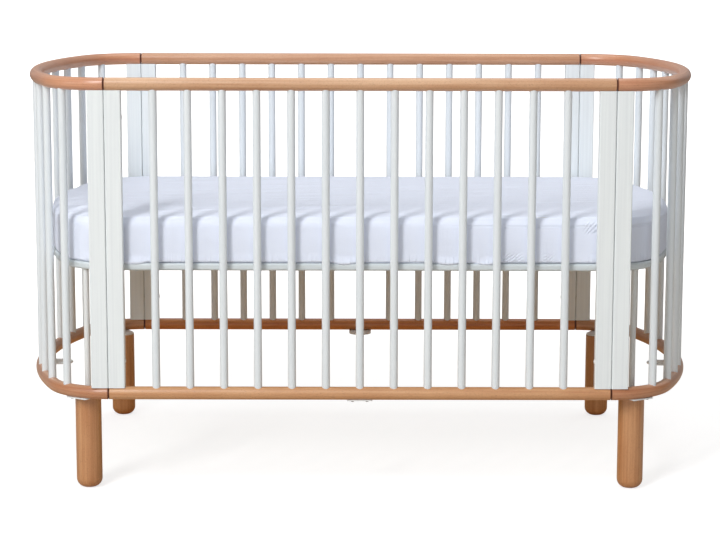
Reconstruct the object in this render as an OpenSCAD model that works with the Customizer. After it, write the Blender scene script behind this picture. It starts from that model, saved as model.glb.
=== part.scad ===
// Oval baby crib: two bent gables and two straight sides, bolted together at four white posts.
// Origin: on the floor, under the middle of the crib. X runs along the crib, Y across it, Z up.

/* [Frame] */
// Length of each straight side, from joint to joint
side_length = 1000; // [900:5:1100]
// Distance between the centre lines of the front and back rails
rail_depth = 735; // [700:1:780]
// Height of the top rails' centre line above the floor
top_rail_z = 818; // [780:1:860]
// Height of the low rails' centre line above the floor
low_rail_z = 203; // [185:1:225]

/* [Gable bends] */
// Radius of the two corner bends of a gable rail, at its centre line
corner_r = 130; // [120:1:145]
// How far a gable reaches past its joints, to the rail's centre line
gable_reach = 177.5; // [168:0.5:195]

/* [Rails] */
// Diameter of the round rails
rail_d = 26; // [24:0.5:28]
// Open joint between a side rail's end and a gable rail's end
rail_gap = 2; // [1:0.1:3]

/* [Spindles] */
// Diameter of a spindle
spindle_d = 16; // [14:0.5:17]
// Depth of a spindle in its rail
spindle_seat = 11; // [8:0.5:12]
// Number of spindles in each side
side_spindles = 13; // [11:1:14]
// Number of spindles in each gable
gable_spindles = 11; // [9:1:12]
// Distance from a joint to the nearest spindle, along the rail
first_spindle = 95; // [85:1:105]

/* [Post boards] */
// Width of a post board, along the crib
board_w = 33; // [30:0.5:36]
// Thickness of a post board
board_t = 21; // [19:0.5:24]
// Rounding of a post board's long edges
board_edge_r = 2.5; // [1:0.25:4]
// Joint between the two boards of a post
board_gap = 0.8; // [0.4:0.1:1.2]
// Depth of the flats milled on the rails where the boards stand
board_flat = 1.5; // [0.5:0.1:2]
// Diameter of the dowels between boards and rails
dowel_d = 8; // [6:0.5:10]
// Depth of a dowel in its rail
dowel_in_rail = 10; // [8:0.5:12]
// Depth of a dowel in its board
dowel_in_board = 16; // [12:1:24]

/* [Joint bolts] */
// Diameter of a joint bolt's shank
bolt_d = 6; // [5:0.5:6.5]
// Diameter of a joint bolt's head
bolt_head_d = 9.5; // [9:0.25:12]
// Height of a joint bolt's head
bolt_head_h = 4; // [3:0.5:5]
// Depth of a bolt's head below the board's face
bolt_sink = 2; // [1.6:0.1:4]
// Distance from a rail's centre line to the nearest bolt
bolt_rise = 65; // [50:1:90]
// Depth of a joint bolt in the gable's board
bolt_reach = 18; // [15:0.5:24]
// Outer diameter of the threaded insert
insert_d = 10; // [9:0.25:12]
// Length of the threaded insert
insert_length = 13; // [10:0.5:15]
// Diameter of a bolt's cap
cap_d = 12.5; // [12.3:0.1:15]
// Height of a bolt's cap above the board
cap_h = 2; // [1:0.1:2.5]
// Depth of a cap's stem in the bolt's hole
cap_stem = 1.5; // [0.8:0.1:1.6]

/* [Legs] */
// Diameter of a leg
leg_d = 52; // [46:1:54]
// Rounding of a leg's foot
foot_r = 18; // [6:0.5:21]
// Rounding of a leg's top edge
leg_top_r = 1.5; // [0.5:0.25:3]
// Place of a leg round the corner bend: 0 faces the crib's end, 90 its side
leg_turn = 61; // [54:0.5:64]

/* [Plates] */
// Width of a steel plate
plate_w = 50; // [46:1:54]
// Thickness of a steel plate
plate_t = 2.5; // [2:0.25:4]
// Distance from the rail's centre line in to the hole in a plate
plate_set = 33; // [31:0.5:36]
// Distance from the rail's centre line out to a plate's edge
plate_lip = 8; // [5:0.5:11]
// Rounding of a plate's outer corners
plate_corner_r = 4; // [2:0.5:5]
// Depth of the flats milled under the rails for the plates
plate_flat = 1; // [0.5:0.1:2]
// Distance between a plate's two screws
screw_spread = 29; // [24:1:34]
// Diameter of a screw
screw_d = 4; // [3:0.25:4.5]
// Depth of a screw in its rail
screw_reach = 11; // [8:0.5:12]
// Diameter of a screw's head
screw_head_d = 8.5; // [7:0.25:9]
// Height of a screw's head
screw_head_h = 2.4; // [1.5:0.1:3]

/* [Studs and rods] */
// Diameter of the stud that holds a leg
stud_d = 8; // [6:0.5:9]
// Depth of a stud in its leg
stud_in_leg = 40; // [25:1:60]
// Depth of a stud in its rod
stud_in_rod = 12; // [8:0.5:20]
// Clearance round a stud in its plate
stud_clearance = 0.2; // [0.1:0.05:0.4]
// Diameter of the rods that carry the mattress base
rod_d = 12; // [11:0.5:14]
// Diameter of the pin on top of a rod
rod_pin_d = 8; // [6:0.5:9]
// Height of the pin on top of a rod
rod_pin_h = 8; // [5:0.5:9]

/* [Mattress base] */
// Height of the mattress base's underside above the floor
base_z = 447; // [420:1:480]
// Thickness of the base's frame
base_t = 15; // [13:0.5:18]
// Width of the base's frame
base_rail_w = 60; // [50:1:70]
// Rounding of the base's outer edge
base_edge_r = 5; // [2:0.5:6]
// Room between the base and the rails, on each side
base_play = 2.5; // [1:0.25:5]
// More room between the base or mattress and the gables, at each end
end_play = 10; // [6:0.5:14]
// Diameter of the dowels between the base's rails and bows
base_dowel_d = 6; // [4:0.5:8]
// Length of those dowels
base_dowel_length = 50; // [30:1:70]
// Number of slats
slats = 16; // [14:1:17]
// Width of a slat
slat_w = 50; // [40:1:52]
// Thickness of a slat
slat_t = 7; // [5:0.5:8]
// Distance between the slats' centre lines
slat_pitch = 70; // [66:1:71]
// Depth of the groove that holds the slats
groove = 8; // [5:0.5:12]

/* [Mattress] */
// Thickness of the mattress with its sheet
mattress_t = 90; // [60:1:120]
// Room between the mattress and the rails, on each side
mattress_play = 4.5; // [3:0.25:8]
// Rounding of the mattress's upper edge
mattress_top_r = 22; // [10:1:26]
// Rounding of the mattress's lower edge
mattress_low_r = 12; // [6:1:20]
// Thickness of the fitted sheet
sheet_t = 1; // [0.8:0.1:2]
// Width of the sheet turned in under the mattress
sheet_turn = 60; // [40:1:90]

/* [Fits] */
// Radial clearance of a pin, spindle or bolt in its bore
pin_fit = 0.05; // [0.02:0.01:0.1]
// Radial clearance of a rod's pin in the mattress base
lift_fit = 0.1; // [0.05:0.01:0.1]
// Gap between parts that only rest on each other
rest_gap = 0.3; // [0.2:0.05:0.5]

/* [Hidden] */

BEECH = [0.80, 0.60, 0.42];
WHITE = [0.93, 0.94, 0.93];
STEEL = [0.62, 0.63, 0.64];
COTTON = [0.87, 0.89, 0.95];

// Segments of round bars and bores, of the bends, of a cap's dome, and of small parts
$fn = 48;
bend_fn = 240;
dome_fn = 64;
small_fn = 32;

joint_x = side_length / 2;
side_y = rail_depth / 2;
rail_r = rail_d / 2;

// A gable's centre line is a wide end arc between two corner bends, tangent to both and to the sides
corner_y = side_y - corner_r;
end_r = (gable_reach * gable_reach + corner_y * corner_y - corner_r * corner_r)
    / (2 * (gable_reach - corner_r));
end_x = joint_x + gable_reach - end_r;
bend_turn = asin(corner_y / (end_r - corner_r));
end_half = end_r * bend_turn * PI / 180;
gable_half = end_half + corner_r * (90 - bend_turn) * PI / 180;

side_pitch = (side_length - 2 * first_spindle) / (side_spindles - 1);
gable_pitch = 2 * (gable_half - first_spindle) / (gable_spindles - 1);

board_low_z = low_rail_z + rail_r - board_flat;
board_high_z = top_rail_z - rail_r + board_flat;
plate_top_z = low_rail_z - rail_r + plate_flat;
plate_low_z = plate_top_z - plate_t;
rod_top_z = base_z - rest_gap;
base_top_z = base_z + base_t;
mattress_z = base_top_z + rest_gap;

// Distance from the rails' centre line in to the base's edge and to the sheet's face
base_inset = rail_r + base_play;
sheet_inset = rail_r + mattress_play;

// Inner end of the band that is carried round an oval, from the rails' centre line
band_end = corner_r - 20;
// How far the foam lies inside the sheet's inner face
foam_ease = 0.1;
// Overlap of a cutting shape past the face that it cuts, and of an arc past its end, in degrees
cut = 1;
past = 1;

function gable_turn(along) = abs(along) <= end_half
    ? along / end_r * 180 / PI
    : sign(along) * (bend_turn + (abs(along) - end_half) / corner_r * 180 / PI);

function gable_point(turn) = abs(turn) <= bend_turn
    ? [end_x + end_r * cos(turn), end_r * sin(turn)]
    : [joint_x + corner_r * cos(turn), sign(turn) * corner_y + corner_r * sin(turn)];

// Sets a child on the right gable's centre line, its +X pointing out of the crib
module on_gable(turn) translate(gable_point(turn)) rotate(turn) children();

// Sets a child on the back side's centre line, its +X pointing out of the crib
module on_side(x) translate([x, side_y]) rotate(90) children();

module left() mirror([1, 0, 0]) children();
module front() mirror([0, 1, 0]) children();
module front_left() front() left() children();
module all_corners() {
    children();
    left() children();
    front() children();
    front_left() children();
}

// Carries an outline along the back half of the right gable: x = 0 of the outline is the rail's
// centre line. Both arcs are set from the corner bend's centre, and run past the plane that ends them.
module half_bend(setback, open) {
    far = 2 * end_r;
    intersection() {
        translate([joint_x - setback, corner_y, 0])
            rotate(bend_turn) {
                translate([corner_r, 0, 0])
                    translate([-end_r, 0, 0])
                        rotate_extrude(angle = bend_turn + past, start = -bend_turn - past, $fn = bend_fn)
                            translate([end_r, 0]) children();
                rotate_extrude(angle = 90 - bend_turn + past, $fn = bend_fn)
                    translate([corner_r, 0]) children();
            }
        translate([joint_x - setback + open, 0, -far / 2]) cube(far);
    }
}

// Carries an outline along the whole right gable
module bend(setback = 0, open = 0) {
    half_bend(setback, open) children();
    front() half_bend(setback, open) children();
}

// Carries an outline along the back side, between the two gables
module run(setback) {
    translate([setback - joint_x, side_y, 0])
        rotate([90, 0, 90]) linear_extrude(2 * (joint_x - setback)) children();
}

// One side of the upright plane where the end arc meets the back corner bend
module seam_side(way, setback) {
    far = 2 * end_r;
    translate([joint_x - setback, corner_y, 0])
        rotate(bend_turn) translate([-far / 2, way < 0 ? -far : 0, -far / 2]) cube(far);
}

// Back half of an oval's right end: each arc turns about its own centre and stops at the seam
module half_end(setback) {
    far = 2 * end_r;
    intersection() {
        union() {
            intersection() {
                translate([end_x - setback, 0, 0])
                    rotate_extrude(angle = bend_turn + 2 * past, start = -past, $fn = bend_fn)
                        translate([end_r, 0]) children();
                seam_side(-1, setback);
            }
            intersection() {
                translate([joint_x - setback, corner_y, 0])
                    rotate_extrude(
                        angle = 90 - bend_turn + 2 * past,
                        start = bend_turn - past,
                        $fn = bend_fn
                    )
                        translate([corner_r, 0]) children();
                seam_side(1, setback);
            }
        }
        translate([joint_x - setback, 0, -far / 2]) cube(far);
    }
}

// Carries an outline once round an oval
module band(setback) {
    half_end(setback) children();
    left() half_end(setback) children();
    front() half_end(setback) children();
    front_left() half_end(setback) children();
    run(setback) children();
    front() run(setback) children();
}

// Flat middle of an oval: its edge lies half way across the band that is carried round it
module middle(inset, setback, thick) {
    right_edge = [
        for (turn = [-90 : 15 : 90])
            gable_point(turn) - (inset + band_end) / 2 * [cos(turn), sin(turn)] - [setback, 0]
    ];
    linear_extrude(thick) polygon(concat(right_edge, -right_edge));
}

// Outline of a slab's edge, rounded below and above, from its face at the inset to an inner end
module slab_edge(inset, end, thick, low_r, high_r) {
    translate([-end, low_r]) square([end - inset, thick - low_r - high_r]);
    translate([-end, 0]) square([end - inset - low_r, thick / 2]);
    translate([-end, thick / 2]) square([end - inset - high_r, thick / 2]);
    translate([-inset - low_r, low_r]) circle(low_r);
    translate([-inset - high_r, thick - high_r]) circle(high_r);
}

// ---- Rails. Both kinds are drawn with their spindles pointing up, and turned over for the top ----

module spindle_socket() {
    translate([0, 0, rail_r - spindle_seat])
        cylinder(d = spindle_d + 2 * pin_fit, h = spindle_seat + cut);
}

module board_seat() {
    translate([0, -rail_r, rail_r - board_flat]) cube([board_w, rail_d, board_flat + cut]);
    translate([board_w / 2, 0, rail_r - board_flat - dowel_in_rail])
        cylinder(d = dowel_d + 2 * pin_fit, h = dowel_in_rail + cut);
}

module plate_seat() {
    translate([-rail_r, -plate_w / 2, -rail_r - cut]) cube([rail_d, plate_w, plate_flat + cut]);
    for (way = [-1, 1])
        translate([0, way * screw_spread / 2, -rail_r - cut])
            cylinder(d = screw_d + 2 * pin_fit, h = plate_flat + screw_reach + cut, $fn = small_fn);
}

// Back side rail
module side_rail() {
    difference() {
        translate([-joint_x + rail_gap / 2, side_y, 0])
            rotate([0, 90, 0]) cylinder(d = rail_d, h = side_length - rail_gap);
        for (i = [0 : side_spindles - 1])
            on_side(-joint_x + first_spindle + i * side_pitch) spindle_socket();
        for (side = [0, 1])
            mirror([side, 0, 0]) translate([joint_x - board_gap / 2 - board_w, side_y, 0]) board_seat();
    }
}

// Right gable rail
module gable_rail() {
    difference() {
        bend(open = rail_gap / 2) circle(rail_r);
        for (i = [0 : gable_spindles - 1])
            on_gable(gable_turn(-gable_half + first_spindle + i * gable_pitch)) spindle_socket();
        for (way = [-1, 1])
            translate([joint_x + board_gap / 2, way * side_y, 0]) board_seat();
    }
}

module top_rail() translate([0, 0, top_rail_z]) mirror([0, 0, 1]) children();

module low_side_rail() {
    translate([0, 0, low_rail_z])
        difference() {
            side_rail();
            on_side(0) plate_seat();
        }
}

module low_gable_rail() {
    translate([0, 0, low_rail_z])
        difference() {
            gable_rail();
            on_gable(0) plate_seat();
            on_gable(leg_turn) plate_seat();
            on_gable(-leg_turn) plate_seat();
        }
}

// ---- Spindles ----

module spindle() {
    low = low_rail_z + rail_r - spindle_seat;
    high = top_rail_z - rail_r + spindle_seat;
    translate([0, 0, low]) cylinder(d = spindle_d, h = high - low);
}

module side_spindle_row() {
    for (i = [0 : side_spindles - 1])
        on_side(-joint_x + first_spindle + i * side_pitch) spindle();
}

module gable_spindle_row() {
    for (i = [0 : gable_spindles - 1])
        on_gable(gable_turn(-gable_half + first_spindle + i * gable_pitch)) spindle();
}

// ---- Posts: one board on the side and one on the gable, dowelled to the rails and bolted together ----

module at_bolts() {
    for (z = [low_rail_z + bolt_rise, top_rail_z - bolt_rise])
        translate([joint_x, side_y, z]) rotate([0, 90, 0]) children();
}

// Plain board with rounded long edges and dowel bores, from x = 0 to its width
module board() {
    height = board_high_z - board_low_z;
    inner_w = board_w - 2 * board_edge_r;
    inner_t = board_t - 2 * board_edge_r;
    difference() {
        translate([board_w / 2, 0, board_low_z])
            linear_extrude(height) {
                square([board_w, inner_t], center = true);
                square([inner_w, board_t], center = true);
                for (x = [-1, 1])
                    for (y = [-1, 1])
                        translate([x * inner_w / 2, y * inner_t / 2]) circle(board_edge_r);
            }
        for (z = [board_low_z - cut, board_high_z - dowel_in_board])
            translate([board_w / 2, 0, z])
                cylinder(d = dowel_d + 2 * pin_fit, h = dowel_in_board + cut);
    }
}

module side_board() {
    head_x = -board_gap / 2 - board_w;
    head_depth = bolt_head_h + bolt_sink;
    color(WHITE)
        difference() {
            translate([joint_x + head_x, side_y, 0]) board();
            at_bolts() {
                translate([0, 0, head_x - cut])
                    cylinder(d = bolt_d + 2 * pin_fit, h = board_w + 2 * cut, $fn = small_fn);
                translate([0, 0, head_x - cut])
                    cylinder(d = bolt_head_d + 2 * pin_fit, h = head_depth + cut, $fn = small_fn);
            }
        }
}

module gable_board() {
    color(WHITE)
        difference() {
            translate([joint_x + board_gap / 2, side_y, 0]) board();
            at_bolts() {
                cylinder(d = insert_d + 2 * pin_fit, h = board_gap / 2 + insert_length, $fn = small_fn);
                cylinder(d = bolt_d + 2 * pin_fit, h = board_gap / 2 + bolt_reach, $fn = small_fn);
            }
        }
}

module dowel_set() {
    for (x = [joint_x - board_gap / 2 - board_w / 2, joint_x + board_gap / 2 + board_w / 2]) {
        translate([x, side_y, board_low_z - dowel_in_rail])
            cylinder(d = dowel_d, h = dowel_in_rail + dowel_in_board);
        translate([x, side_y, board_high_z - dowel_in_board])
            cylinder(d = dowel_d, h = dowel_in_rail + dowel_in_board);
    }
}

module bolt_pair() {
    shoulder = -board_gap / 2 - board_w + bolt_sink + bolt_head_h;
    at_bolts() {
        translate([0, 0, shoulder - bolt_head_h])
            cylinder(d = bolt_head_d, h = bolt_head_h, $fn = small_fn);
        translate([0, 0, shoulder])
            cylinder(d = bolt_d, h = board_gap / 2 + bolt_reach - shoulder, $fn = small_fn);
    }
}

module insert_pair() {
    at_bolts()
        translate([0, 0, board_gap / 2])
            difference() {
                cylinder(d = insert_d, h = insert_length, $fn = small_fn);
                translate([0, 0, -cut])
                    cylinder(d = bolt_d + 2 * pin_fit, h = insert_length + 2 * cut, $fn = small_fn);
            }
}

// Domed caps: the dome is a slice of a ball that is as wide as the cap where it meets the board
module cap_pair() {
    ball_r = (cap_d * cap_d / 4 + cap_h * cap_h) / (2 * cap_h);
    at_bolts()
        translate([0, 0, -board_gap / 2 - board_w]) {
            cylinder(d = bolt_head_d, h = cap_stem, $fn = small_fn);
            intersection() {
                translate([0, 0, ball_r - cap_h]) sphere(ball_r, $fn = dome_fn);
                translate([0, 0, -cap_h]) cylinder(d = cap_d, h = cap_h, $fn = small_fn);
            }
        }
}

// ---- Legs, plates, studs and screws ----

module leg() {
    r = leg_d / 2;
    color(BEECH)
        on_gable(leg_turn)
            translate([-plate_set, 0, 0])
                difference() {
                    rotate_extrude() {
                        translate([0, foot_r]) square([r, plate_low_z - foot_r - leg_top_r]);
                        square([r - foot_r, foot_r]);
                        translate([0, plate_low_z - leg_top_r]) square([r - leg_top_r, leg_top_r]);
                        intersection() {
                            translate([r - foot_r, foot_r]) circle(foot_r);
                            square([r, foot_r]);
                        }
                        translate([r - leg_top_r, plate_low_z - leg_top_r]) circle(leg_top_r);
                    }
                    translate([0, 0, plate_low_z - stud_in_leg])
                        cylinder(d = stud_d + 2 * pin_fit, h = stud_in_leg + cut);
                }
}

// Steel plate: a tongue with a round tip and a hole, screwed under the rail
module plate() {
    corner_x = plate_lip - plate_corner_r;
    corner_w = plate_w / 2 - plate_corner_r;
    color(WHITE)
        translate([0, 0, plate_low_z])
            linear_extrude(plate_t)
                difference() {
                    union() {
                        translate([-plate_set, 0]) circle(d = plate_w);
                        translate([-plate_set, -plate_w / 2]) square([plate_set + corner_x, plate_w]);
                        translate([-plate_set, -corner_w]) square([plate_set + plate_lip, 2 * corner_w]);
                        for (way = [-1, 1])
                            translate([corner_x, way * corner_w]) circle(plate_corner_r);
                    }
                    translate([-plate_set, 0]) circle(d = stud_d + 2 * stud_clearance);
                    for (way = [-1, 1])
                        translate([0, way * screw_spread / 2]) circle(d = screw_d + 2 * pin_fit);
                }
}

module plate_screw_pair() {
    head_tip_d = screw_head_d - screw_head_h;
    for (way = [-1, 1])
        translate([0, way * screw_spread / 2, plate_low_z]) {
            translate([0, 0, -screw_head_h])
                cylinder(d1 = head_tip_d, d2 = screw_head_d, h = screw_head_h, $fn = small_fn);
            cylinder(d = screw_d, h = plate_t + screw_reach, $fn = small_fn);
        }
}

module screws() {
    color(STEEL) {
        all_corners() on_gable(leg_turn) plate_screw_pair();
        on_gable(0) plate_screw_pair();
        left() on_gable(0) plate_screw_pair();
        on_side(0) plate_screw_pair();
        front() on_side(0) plate_screw_pair();
    }
}

module stud() {
    on_gable(leg_turn)
        translate([-plate_set, 0, plate_low_z - stud_in_leg])
            cylinder(d = stud_d, h = stud_in_leg + plate_t + stud_in_rod);
}

// Rod on a leg's stud, with a pin for the mattress base
module rod() {
    length = rod_top_z - plate_top_z;
    color(WHITE)
        on_gable(leg_turn)
            translate([-plate_set, 0, plate_top_z])
                difference() {
                    union() {
                        cylinder(d = rod_d, h = length);
                        cylinder(d = rod_pin_d, h = length + rod_pin_h);
                    }
                    translate([0, 0, -cut]) cylinder(d = stud_d + 2 * pin_fit, h = stud_in_rod + cut);
                }
}

// ---- Mattress base ----

// Section of the base's frame: rounded outside, grooved inside for the slats
module base_section() {
    translate([-base_inset, 0])
        difference() {
            union() {
                translate([-base_rail_w, 0]) square([base_rail_w - base_edge_r, base_t]);
                translate([-base_edge_r, base_edge_r]) square([base_edge_r, base_t - 2 * base_edge_r]);
                for (z = [base_edge_r, base_t - base_edge_r])
                    translate([-base_edge_r, z]) circle(base_edge_r);
            }
            translate([-base_rail_w - cut, (base_t - slat_t) / 2 - pin_fit])
                square([groove + cut, slat_t + 2 * pin_fit]);
        }
}

module base_dowel_places() {
    for (i = [1, 2])
        translate([joint_x - end_play, side_y - base_inset - i * base_rail_w / 3, base_z + base_t / 2])
            rotate([0, 90, 0]) children();
}

module base_dowel_bores() {
    base_dowel_places()
        cylinder(d = base_dowel_d + 2 * pin_fit, h = base_dowel_length, center = true, $fn = small_fn);
}

// Straight back rail of the base
module base_rail() {
    color(WHITE)
        difference() {
            translate([0, 0, base_z]) run(end_play) base_section();
            base_dowel_bores();
            left() base_dowel_bores();
        }
}

// Bow that closes the right end of the base, with the sockets for two rods
module base_bow() {
    color(WHITE)
        difference() {
            translate([0, 0, base_z]) bend(end_play) base_section();
            for (side = [0, 1])
                mirror([0, side, 0]) {
                    base_dowel_bores();
                    on_gable(leg_turn)
                        translate([-plate_set, 0, base_z - cut])
                            cylinder(d = rod_pin_d + 2 * lift_fit, h = rod_pin_h + rest_gap + cut);
                }
        }
}

module base_dowel_set() {
    base_dowel_places()
        cylinder(d = base_dowel_d, h = base_dowel_length, center = true, $fn = small_fn);
}

// Slats across the base, their ends cut to the oval of the groove's bottom
module slat_set() {
    inset = base_inset + base_rail_w - groove;
    color(WHITE)
        translate([0, 0, base_z + (base_t - slat_t) / 2])
            intersection() {
                union() {
                    band(end_play) translate([-band_end, 0]) square([band_end - inset, slat_t]);
                    middle(inset, end_play, slat_t);
                }
                for (i = [0 : slats - 1])
                    translate([(i - (slats - 1) / 2) * slat_pitch - slat_w / 2, -side_y, 0])
                        cube([slat_w, rail_depth, slat_t]);
            }
}

// ---- Mattress ----

module foam() {
    gap = sheet_t + foam_ease;
    inset = sheet_inset + gap;
    thick = mattress_t - 2 * gap;
    color(COTTON)
        translate([0, 0, mattress_z + gap]) {
            band(end_play) slab_edge(inset, band_end, thick, mattress_low_r - gap, mattress_top_r - gap);
            middle(inset, end_play, thick);
        }
}

// Outline of the fitted sheet: over the top, down the side and turned in underneath
module sheet_edge() {
    difference() {
        slab_edge(sheet_inset, band_end, mattress_t, mattress_low_r, mattress_top_r);
        translate([0, sheet_t])
            slab_edge(sheet_inset + sheet_t, band_end + cut, mattress_t - 2 * sheet_t,
                mattress_low_r - sheet_t, mattress_top_r - sheet_t);
        translate([-band_end - cut, -cut])
            square([band_end + cut - sheet_inset - sheet_turn, sheet_t + 2 * cut]);
    }
}

module sheet() {
    color(COTTON) {
        translate([0, 0, mattress_z]) band(end_play) sheet_edge();
        translate([0, 0, mattress_z + mattress_t - sheet_t]) middle(sheet_inset, end_play, sheet_t);
    }
}

color(BEECH) top_rail() side_rail();  // top_rail_back
color(BEECH) front() top_rail() side_rail();  // top_rail_front
color(BEECH) top_rail() gable_rail();  // top_rail_right
color(BEECH) left() top_rail() gable_rail();  // top_rail_left
color(BEECH) low_side_rail();  // low_rail_back
color(BEECH) front() low_side_rail();  // low_rail_front
color(BEECH) low_gable_rail();  // low_rail_right
color(BEECH) left() low_gable_rail();  // low_rail_left

color(WHITE) side_spindle_row();  // spindles_back
color(WHITE) front() side_spindle_row();  // spindles_front
color(WHITE) gable_spindle_row();  // spindles_right
color(WHITE) left() gable_spindle_row();  // spindles_left

side_board();  // side_board_back_right
left() side_board();  // side_board_back_left
front() side_board();  // side_board_front_right
front_left() side_board();  // side_board_front_left
gable_board();  // gable_board_back_right
left() gable_board();  // gable_board_back_left
front() gable_board();  // gable_board_front_right
front_left() gable_board();  // gable_board_front_left

color(BEECH) all_corners() dowel_set();  // board_dowels
color(STEEL) all_corners() bolt_pair();  // joint_bolts
color(STEEL) all_corners() insert_pair();  // joint_inserts
color(WHITE) all_corners() cap_pair();  // bolt_caps

leg();  // leg_back_right
left() leg();  // leg_back_left
front() leg();  // leg_front_right
front_left() leg();  // leg_front_left

on_gable(leg_turn) plate();  // leg_plate_back_right
left() on_gable(leg_turn) plate();  // leg_plate_back_left
front() on_gable(leg_turn) plate();  // leg_plate_front_right
front_left() on_gable(leg_turn) plate();  // leg_plate_front_left
on_side(0) plate();  // spare_plate_back
front() on_side(0) plate();  // spare_plate_front
on_gable(0) plate();  // spare_plate_right
left() on_gable(0) plate();  // spare_plate_left
color(STEEL) all_corners() stud();  // leg_studs
screws();  // plate_screws

rod();  // rod_back_right
left() rod();  // rod_back_left
front() rod();  // rod_front_right
front_left() rod();  // rod_front_left

base_rail();  // base_rail_back
front() base_rail();  // base_rail_front
base_bow();  // base_bow_right
left() base_bow();  // base_bow_left
color(BEECH) all_corners() base_dowel_set();  // base_dowels
slat_set();  // base_slats
foam();  // mattress
sheet();  // fitted_sheet
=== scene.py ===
# %% [markdown]
# # A baby crib of bent beech and white lacquer
#
# This lesson dresses a finished construction model of a baby crib. The model already fixes
# where every rail, spindle, board, plate and slat sits, and how the mattress and its base lift
# out. What it lacks is what the eye and the hand notice: the grain that follows a bent rail, the
# soft edge that lacquer gives a spindle, the pull of a cotton sheet over a foam mattress.
#
# Each step first says what the piece or finish is on a real crib, then how it could be made, and
# why it is made the way it is here. All lengths are in metres.

import math

import bpy
import numpy as np
from mathutils import Matrix, Vector


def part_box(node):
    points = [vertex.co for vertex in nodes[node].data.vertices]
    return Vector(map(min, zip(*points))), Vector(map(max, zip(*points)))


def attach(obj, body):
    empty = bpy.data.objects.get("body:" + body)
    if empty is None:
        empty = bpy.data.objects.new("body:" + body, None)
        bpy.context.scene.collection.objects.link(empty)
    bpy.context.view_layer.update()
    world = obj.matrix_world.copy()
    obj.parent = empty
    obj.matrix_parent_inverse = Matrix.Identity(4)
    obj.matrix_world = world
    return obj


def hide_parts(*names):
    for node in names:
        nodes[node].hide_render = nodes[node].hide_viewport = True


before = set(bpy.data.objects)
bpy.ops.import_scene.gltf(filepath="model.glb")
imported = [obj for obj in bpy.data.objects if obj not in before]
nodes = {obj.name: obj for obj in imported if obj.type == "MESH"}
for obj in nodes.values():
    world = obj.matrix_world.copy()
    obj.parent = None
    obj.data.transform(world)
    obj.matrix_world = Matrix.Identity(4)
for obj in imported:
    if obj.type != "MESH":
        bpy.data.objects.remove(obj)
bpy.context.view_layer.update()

# %% [markdown]
# ## The crib's own measures
#
# The gables are not half circles. Each is a wide end arc between two tight corner bends, tangent
# to both and to the straight sides. Grain, laminations and the mattress's edge all follow that
# line, so its numbers are worked out once here and every later step reuses them. Only two are
# given, the joints' distance from the middle and the corner bends' radius: the others come from
# the boxes of the pieces themselves.

# %% Measures read from the pieces
side_low, side_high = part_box("top_rail_back")
gable_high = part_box("top_rail_right")[1]
RAIL_R = (side_high.z - side_low.z) / 2
SIDE_Y = side_high.y - RAIL_R
JOINT_X = 0.5
REACH = gable_high.x - RAIL_R - JOINT_X
CORNER_R = 0.13
CORNER_Y = SIDE_Y - CORNER_R
END_R = (REACH**2 + CORNER_Y**2 - CORNER_R**2) / (2 * (REACH - CORNER_R))
END_X = JOINT_X + REACH - END_R
BEND_TURN = math.asin(CORNER_Y / (END_R - CORNER_R))
END_HALF = END_R * BEND_TURN
print(f"rail radius {RAIL_R:.4f}, side at {SIDE_Y:.4f}, reach {REACH:.4f}")
print(f"end arc {END_R:.4f} over {math.degrees(2 * BEND_TURN):.1f} degrees")

# %% [markdown]
# ## A small language for finishes
#
# A finish is a graph of nodes. Written out link by link, it hides the thought behind it: that
# the flecks in beech are short, dark and lie along the grain. A `Value` wraps one output of the
# graph and lets plain arithmetic add the nodes, so that a finish reads like its formula. A
# `Finish` owns the graph: it reads coordinates, mixes colours, adds any other node by name and
# plugs the results into the shader.

# %% Value and Finish
class Value:
    """One output of a finish's graph; arithmetic on it adds Math nodes."""

    def __init__(self, finish, socket):
        self.finish = finish
        self.socket = socket

    def __add__(self, other):
        return self.finish.math("ADD", self, other)

    def __radd__(self, other):
        return self.finish.math("ADD", other, self)

    def __sub__(self, other):
        return self.finish.math("SUBTRACT", self, other)

    def __rsub__(self, other):
        return self.finish.math("SUBTRACT", other, self)

    def __mul__(self, other):
        return self.finish.math("MULTIPLY", self, other)

    def __rmul__(self, other):
        return self.finish.math("MULTIPLY", other, self)

    def __truediv__(self, other):
        return self.finish.math("DIVIDE", self, other)

    def __rtruediv__(self, other):
        return self.finish.math("DIVIDE", other, self)

    def __gt__(self, other):
        return self.finish.math("GREATER_THAN", self, other)

    def __lt__(self, other):
        return self.finish.math("LESS_THAN", self, other)

    def __abs__(self):
        return self.finish.math("ABSOLUTE", self)


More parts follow.
